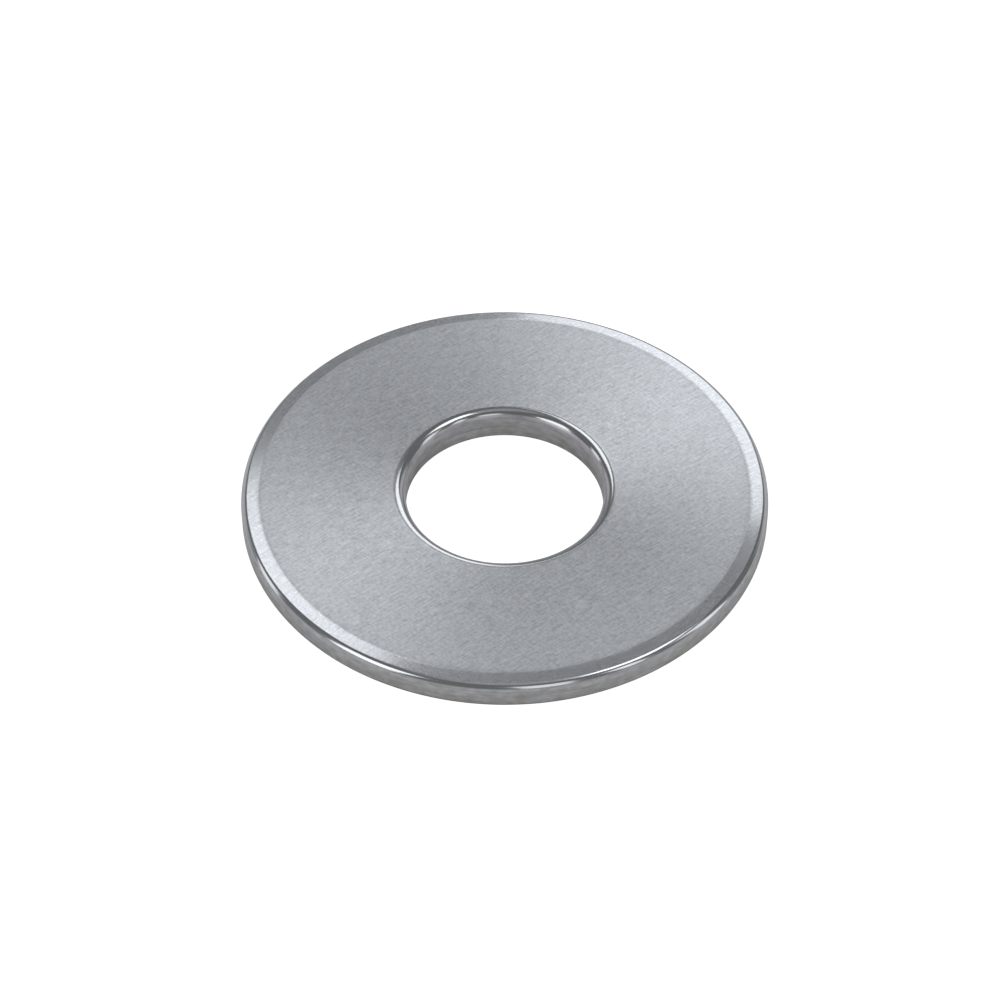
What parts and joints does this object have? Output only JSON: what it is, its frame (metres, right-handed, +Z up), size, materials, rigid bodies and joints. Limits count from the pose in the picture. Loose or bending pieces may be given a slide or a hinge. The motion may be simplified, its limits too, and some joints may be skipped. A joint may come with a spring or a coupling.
{
  "type": "flat washer",
  "caption": "Flat round stainless steel washer with a wide central bore, rolled top edges and tumbled bottom edges.",
  "frame": {"origin": "centre of the bottom face, on the bore's axis", "axes": "+Z up along the bore's axis, towards the face with the rolled edges; the ring is the same all round, so X and Y are free"},
  "size_m": [0.0444, 0.0444, 0.0024],
  "materials": {
    "steel": "satin stainless steel with fine scratches across the faces, glossier on the rolled and tumbled edges"
  },
  "bodies": {
    "root": {"washer": "steel"}
  },
  "joints": []
}
